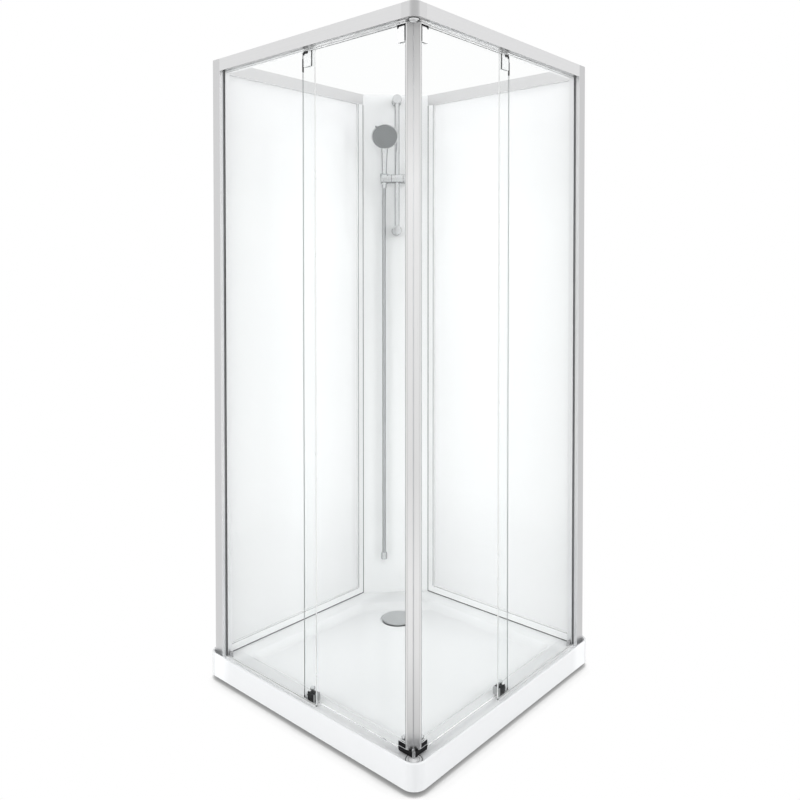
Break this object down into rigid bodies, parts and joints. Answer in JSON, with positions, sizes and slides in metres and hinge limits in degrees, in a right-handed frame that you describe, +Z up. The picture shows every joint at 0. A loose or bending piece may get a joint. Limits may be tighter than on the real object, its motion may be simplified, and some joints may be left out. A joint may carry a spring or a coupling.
{
  "type": "shower cabin",
  "caption": "Square corner shower cabin with a white tray, satin frame, clear sliding doors that meet at the front corner and a riser rail with a hand shower.",
  "frame": {"origin": "on the floor under the middle of the square tray", "axes": "+Z up; the front corner where the doors meet points to +X and -Y, so the left door is on the -Y side and the right door on the +X side; the walls are on -X and +Y"},
  "size_m": [0.9, 0.9, 2],
  "materials": {
    "tray": "gloss",
    "galvanised": "satin",
    "waste_plastic": "satin",
    "rubber_black": "matte",
    "chrome": "polished",
    "chrome_plastic": "polished",
    "spray_grey": "satin",
    "hose_grey": "gloss",
    "satin_aluminium": "satin",
    "grip_aluminium": "satin",
    "clear_glass": "polished",
    "white_panel": "gloss",
    "seal_grey": "satin",
    "black_plastic": "satin",
    "roller_white": "satin"
  },
  "bodies": {
    "cabin": {"shower_tray": "tray", "support_frame": "galvanised", "levelling_feet": "galvanised", "foot_locknuts": "galvanised", "drain_flange": "chrome", "waste_gasket": "rubber_black", "waste_body": "waste_plastic", "top_corner_joint": "satin_aluminium", "corner_panel": "white_panel", "corner_stop": "chrome", "door_buffers": "seal_grey", "riser_bar": "chrome", "riser_brackets": "chrome", "left_post": "satin_aluminium", "left_top_rail": "satin_aluminium", "left_fixed_pane": "clear_glass", "left_pane_seal": "seal_grey", "left_pane_sill": "satin_aluminium", "left_wall_top_rail": "satin_aluminium", "left_wall_bottom_rail": "satin_aluminium", "left_wall_stile": "satin_aluminium", "left_wall_panel": "white_panel", "right_post": "satin_aluminium", "right_top_rail": "satin_aluminium", "right_fixed_pane": "clear_glass", "right_pane_seal": "seal_grey", "right_pane_sill": "satin_aluminium", "right_wall_top_rail": "satin_aluminium", "right_wall_bottom_rail": "satin_aluminium", "right_wall_stile": "satin_aluminium", "right_wall_panel": "white_panel"},
    "left_door": {"left_door_glass": "clear_glass", "left_door_grip": "grip_aluminium", "left_magnet_strip": "seal_grey", "left_hangers": "chrome", "left_roller_axles": "chrome", "left_guides": "black_plastic"},
    "left_front_wheel": {"left_front_roller": "roller_white"},
    "left_front_knob": {"left_front_release": "chrome"},
    "left_rear_wheel": {"left_rear_roller": "roller_white"},
    "left_rear_knob": {"left_rear_release": "chrome"},
    "right_door": {"right_door_glass": "clear_glass", "right_door_grip": "grip_aluminium", "right_magnet_strip": "seal_grey", "right_hangers": "chrome", "right_roller_axles": "chrome", "right_guides": "black_plastic"},
    "right_front_wheel": {"right_front_roller": "roller_white"},
    "right_front_knob": {"right_front_release": "chrome"},
    "right_rear_wheel": {"right_rear_roller": "roller_white"},
    "right_rear_knob": {"right_rear_release": "chrome"},
    "slider": {"slider_body": "chrome_plastic", "shower_hose": "hose_grey", "hose_end_nut": "chrome"},
    "holder": {"tilt_holder": "chrome_plastic", "hose_cone_nut": "chrome_plastic", "handset_body": "chrome_plastic"},
    "spray": {"spray_face": "spray_grey"},
    "clamp": {"clamp_knob": "chrome_plastic"},
    "cover": {"drain_cover": "chrome"}
  },
  "joints": [
    {"name": "left_door_slide", "type": "slide", "parent": "cabin", "child": "left_door", "axis": [-1, 0, 0], "range_m": [0, 0.33]},
    {"name": "left_front_roll", "type": "hinge", "parent": "left_door", "child": "left_front_wheel", "pos_m": [0.365, -0.3935, 1.9753], "axis": [0, 1, 0], "range_deg": [-1900, 0]},
    {"name": "left_front_press", "type": "slide", "parent": "left_door", "child": "left_front_knob", "axis": [0, 0, -1], "range_m": [0, 0.005], "stiffness_N_per_m": 400, "springref_m": -0.005},
    {"name": "left_rear_roll", "type": "hinge", "parent": "left_door", "child": "left_rear_wheel", "pos_m": [0.001, -0.3935, 1.9753], "axis": [0, 1, 0], "range_deg": [-1900, 0]},
    {"name": "left_rear_press", "type": "slide", "parent": "left_door", "child": "left_rear_knob", "axis": [0, 0, -1], "range_m": [0, 0.005], "stiffness_N_per_m": 400, "springref_m": -0.005},
    {"name": "right_door_slide", "type": "slide", "parent": "cabin", "child": "right_door", "axis": [0, 1, 0], "range_m": [0, 0.33]},
    {"name": "right_front_roll", "type": "hinge", "parent": "right_door", "child": "right_front_wheel", "pos_m": [0.3935, -0.365, 1.9753], "axis": [1, 0, 0], "range_deg": [-1900, 0]},
    {"name": "right_front_press", "type": "slide", "parent": "right_door", "child": "right_front_knob", "axis": [0, 0, -1], "range_m": [0, 0.005], "stiffness_N_per_m": 400, "springref_m": -0.005},
    {"name": "right_rear_roll", "type": "hinge", "parent": "right_door", "child": "right_rear_wheel", "pos_m": [0.3935, -0.001, 1.9753], "axis": [1, 0, 0], "range_deg": [-1900, 0]},
    {"name": "right_rear_press", "type": "slide", "parent": "right_door", "child": "right_rear_knob", "axis": [0, 0, -1], "range_m": [0, 0.005], "stiffness_N_per_m": 400, "springref_m": -0.005},
    {"name": "slider_height", "type": "slide", "parent": "cabin", "child": "slider", "axis": [0, 0, 1], "range_m": [-0.13, 0.25]},
    {"name": "holder_tilt", "type": "hinge", "parent": "slider", "child": "holder", "pos_m": [-0.31144, 0.24836, 1.671], "axis": [0.7071, 0.7071, 0], "range_deg": [-12, 20], "deforming": ["shower_hose"]},
    {"name": "spray_selector", "type": "hinge", "parent": "holder", "child": "spray", "pos_m": [-0.2713, 0.20822, 1.82699], "axis": [0.6061, -0.6061, -0.515], "range_deg": [-80, 0]},
    {"name": "clamp_turn", "type": "hinge", "parent": "slider", "child": "clamp", "pos_m": [-0.25, 0.3098, 1.671], "axis": [0.7071, 0.7071, 0], "range_deg": [0, 180]},
    {"name": "drain_cover_lift", "type": "slide", "parent": "cabin", "child": "cover", "axis": [0, 0, 1], "range_m": [0, 0.12]}
  ],
  "couplings": [
    {"joint": "left_front_roll", "follows": "left_door_slide", "rad_per_m": -100},
    {"joint": "left_rear_roll", "follows": "left_door_slide", "rad_per_m": -100},
    {"joint": "right_front_roll", "follows": "right_door_slide", "rad_per_m": -100},
    {"joint": "right_rear_roll", "follows": "right_door_slide", "rad_per_m": -100}
  ]
}
